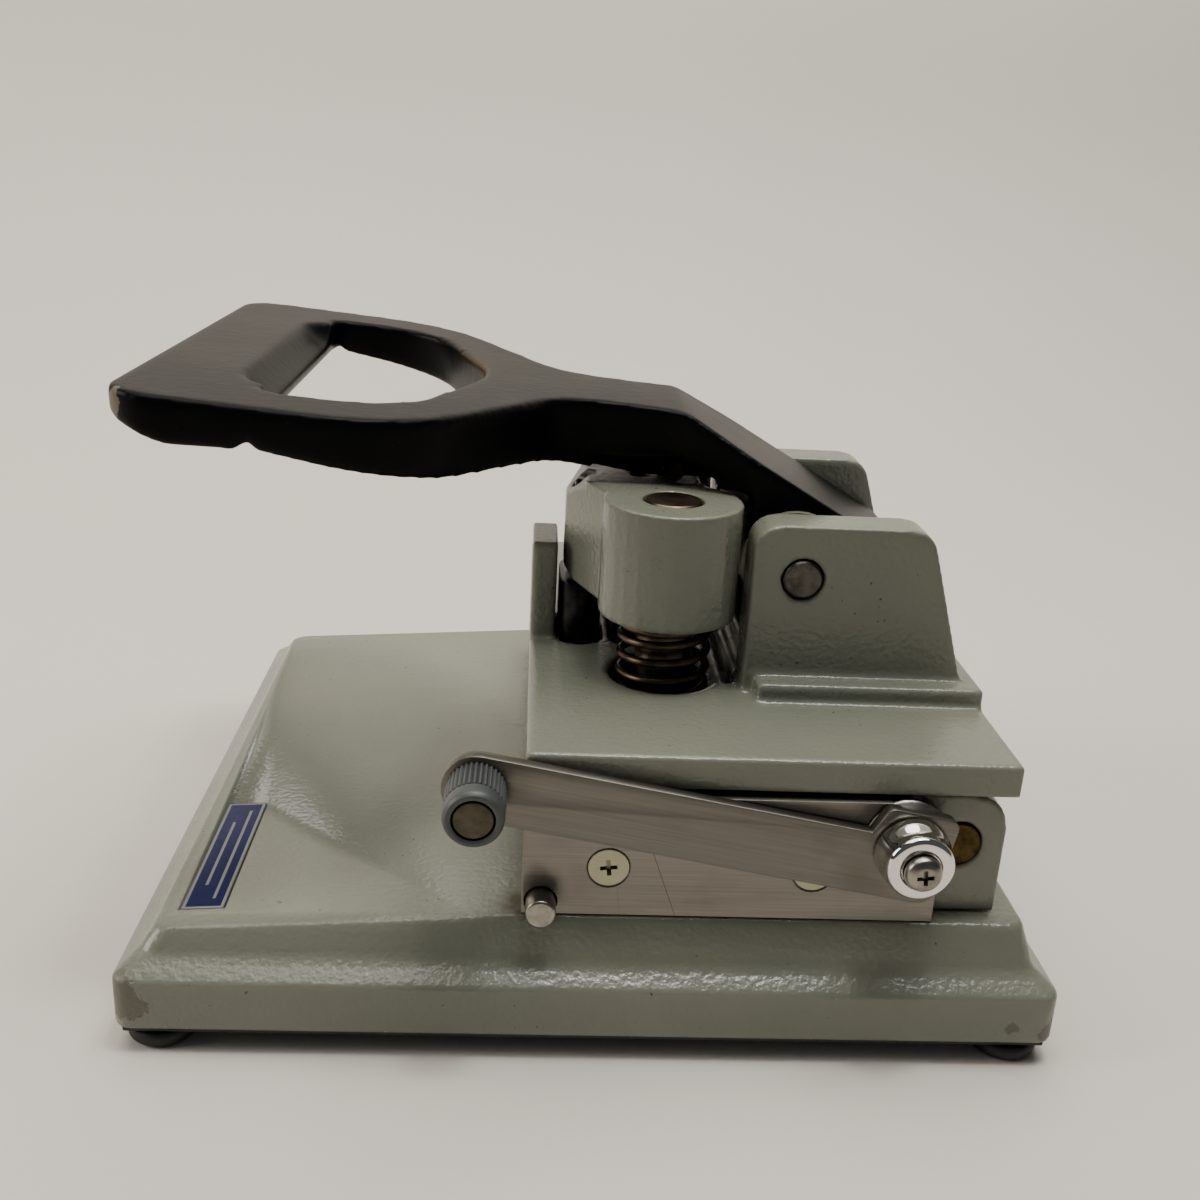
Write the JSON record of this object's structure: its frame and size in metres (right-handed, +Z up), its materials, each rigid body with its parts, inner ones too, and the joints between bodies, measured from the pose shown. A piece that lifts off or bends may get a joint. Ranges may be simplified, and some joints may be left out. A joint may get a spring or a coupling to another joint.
{
  "type": "film tape splicer",
  "caption": "Bench tape splicer for cine film: a loop handle presses a sprung punch crosshead, and a side lever shears the film.",
  "frame": {"origin": "centre of the footprint of the whole object, on the surface the feet stand on", "axes": "+X from the grip of the hand lever to the back of the head; -Y is the side with the cutter lever; +Z up"},
  "size_m": [0.1806, 0.1738, 0.1231],
  "materials": {
    "grey_green_paint": "orange-peel enamel on cast metal",
    "black_paint": "semi-gloss enamel",
    "turned_steel": "turned and ground",
    "dark_steel": "oiled, darkened",
    "black_rubber": "matt",
    "brushed_steel": "ground lengthways",
    "cream_plating": "passivated plating",
    "bronze": "turned",
    "brass": "turned, tarnished",
    "chrome": "polished",
    "grey_knob": "moulded, fluted",
    "label_face": "printed"
  },
  "bodies": {
    "frame": {"base_casting": "grey_green_paint", "blade_screw_left": "cream_plating", "blade_screw_right": "cream_plating", "block_screw_far_left": "turned_steel", "block_screw_far_right": "turned_steel", "block_screw_near_left": "turned_steel", "block_screw_near_right": "turned_steel", "bottom_plate": "black_paint", "brass_plug": "brass", "die_plate": "brushed_steel", "fixed_blade": "brushed_steel", "foot_far_left": "black_rubber", "foot_far_right": "black_rubber", "foot_near_left": "black_rubber", "foot_near_right": "black_rubber", "foot_screw_far_left": "turned_steel", "foot_screw_far_right": "turned_steel", "foot_screw_near_left": "turned_steel", "foot_screw_near_right": "turned_steel", "guide_bush_far": "bronze", "guide_bush_near": "bronze", "handle_pin": "turned_steel", "head_casting": "grey_green_paint", "hub_washer_far": "turned_steel", "hub_washer_near": "turned_steel", "label_plate": "label_face", "lever_collar": "chrome", "lever_screw": "turned_steel", "lever_stud": "turned_steel", "lower_block": "grey_green_paint", "return_spring_far": "dark_steel", "return_spring_near": "dark_steel", "stop_pin": "turned_steel"},
    "crosshead": {"clamp_screw_back": "dark_steel", "clamp_screw_front": "dark_steel", "crosshead": "grey_green_paint", "guide_rod_far": "dark_steel", "guide_rod_near": "dark_steel", "punch_back_1": "turned_steel", "punch_back_2": "turned_steel", "punch_back_3": "turned_steel", "punch_block_back": "dark_steel", "punch_block_front": "dark_steel", "punch_front_1": "turned_steel", "punch_front_2": "turned_steel", "punch_front_3": "turned_steel", "trim_knife_back": "turned_steel", "trim_knife_front": "turned_steel"},
    "hand_lever": {"handle": "black_paint", "roller_pin": "turned_steel"},
    "roller": {"press_roller": "turned_steel"},
    "cutter": {"cutter_lever": "brushed_steel", "knob_stud": "turned_steel"},
    "knob": {"lever_knob": "grey_knob"}
  },
  "joints": [
    {"name": "handle_hinge", "type": "hinge", "parent": "frame", "child": "hand_lever", "pos_m": [0.04, -0.00455, 0.0851], "axis": [0, -1, 0], "range_deg": [0, 9.9]},
    {"name": "crosshead_slide", "type": "slide", "parent": "frame", "child": "crosshead", "axis": [0, 0, -1], "range_m": [0, 0.0046], "stiffness_N_per_m": 3500, "springref_m": -0.01, "deforming": ["return_spring_near", "return_spring_far"]},
    {"name": "roller_spin", "type": "hinge", "parent": "hand_lever", "child": "roller", "pos_m": [0.0148, -0.00455, 0.1013], "axis": [0, -1, 0], "continuous": true},
    {"name": "cutter_hinge", "type": "hinge", "parent": "frame", "child": "cutter", "pos_m": [0.0579, -0.07365, 0.0446], "axis": [0, -1, 0], "range_deg": [-40, 10.4]},
    {"name": "knob_spin", "type": "hinge", "parent": "cutter", "child": "knob", "pos_m": [-0.02328, -0.08095, 0.05487], "axis": [0, -1, 0], "continuous": true}
  ],
  "couplings": [
    {"joint": "crosshead_slide", "follows": "handle_hinge", "m_per_rad": 0.0265}
  ]
}
